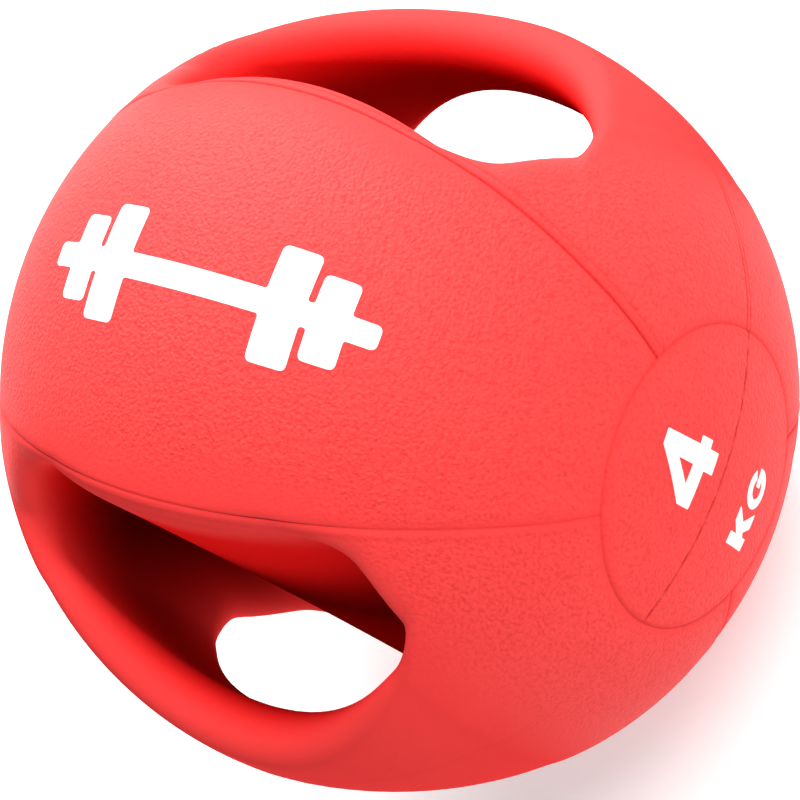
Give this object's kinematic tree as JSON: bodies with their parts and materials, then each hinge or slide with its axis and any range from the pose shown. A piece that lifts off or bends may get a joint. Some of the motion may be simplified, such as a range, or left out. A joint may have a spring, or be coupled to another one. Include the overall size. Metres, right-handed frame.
{
  "type": "medicine ball",
  "caption": "Round rubber medicine ball with an integral hand grip over a through well on each side.",
  "frame": {"origin": "centre of the ball", "axes": "+Z out through the middle of the printed front panel, -Z out through the back panel it rests on; +X and -X out through the middle of the two grips, whose bars run along Y; -Y out through the disc with the weight mark, +Y out through the disc with the valve"},
  "size_m": [0.2595, 0.2605, 0.2604],
  "materials": {
    "cover_rubber": "matte, fine leather grain",
    "heavy_rubber": "matte",
    "core_rubber": "matte",
    "winding_thread": "matte thread",
    "bladder_rubber": "satin",
    "white_print": "matte ink"
  },
  "bodies": {
    "root": {"front_panel": "cover_rubber", "back_panel": "cover_rubber", "grip_panel_right": "cover_rubber", "grip_panel_left": "cover_rubber", "weight_mark_disc": "cover_rubber", "valve_disc": "cover_rubber", "weight_shell_front": "heavy_rubber", "weight_shell_back": "heavy_rubber", "grip_core_right": "core_rubber", "grip_core_left": "core_rubber", "thread_winding": "winding_thread", "bladder": "bladder_rubber", "valve_boot": "bladder_rubber", "valve_plug": "bladder_rubber", "print_dumbbell": "white_print", "print_number_4": "white_print", "print_letter_k": "white_print", "print_letter_g": "white_print"}
  },
  "joints": []
}
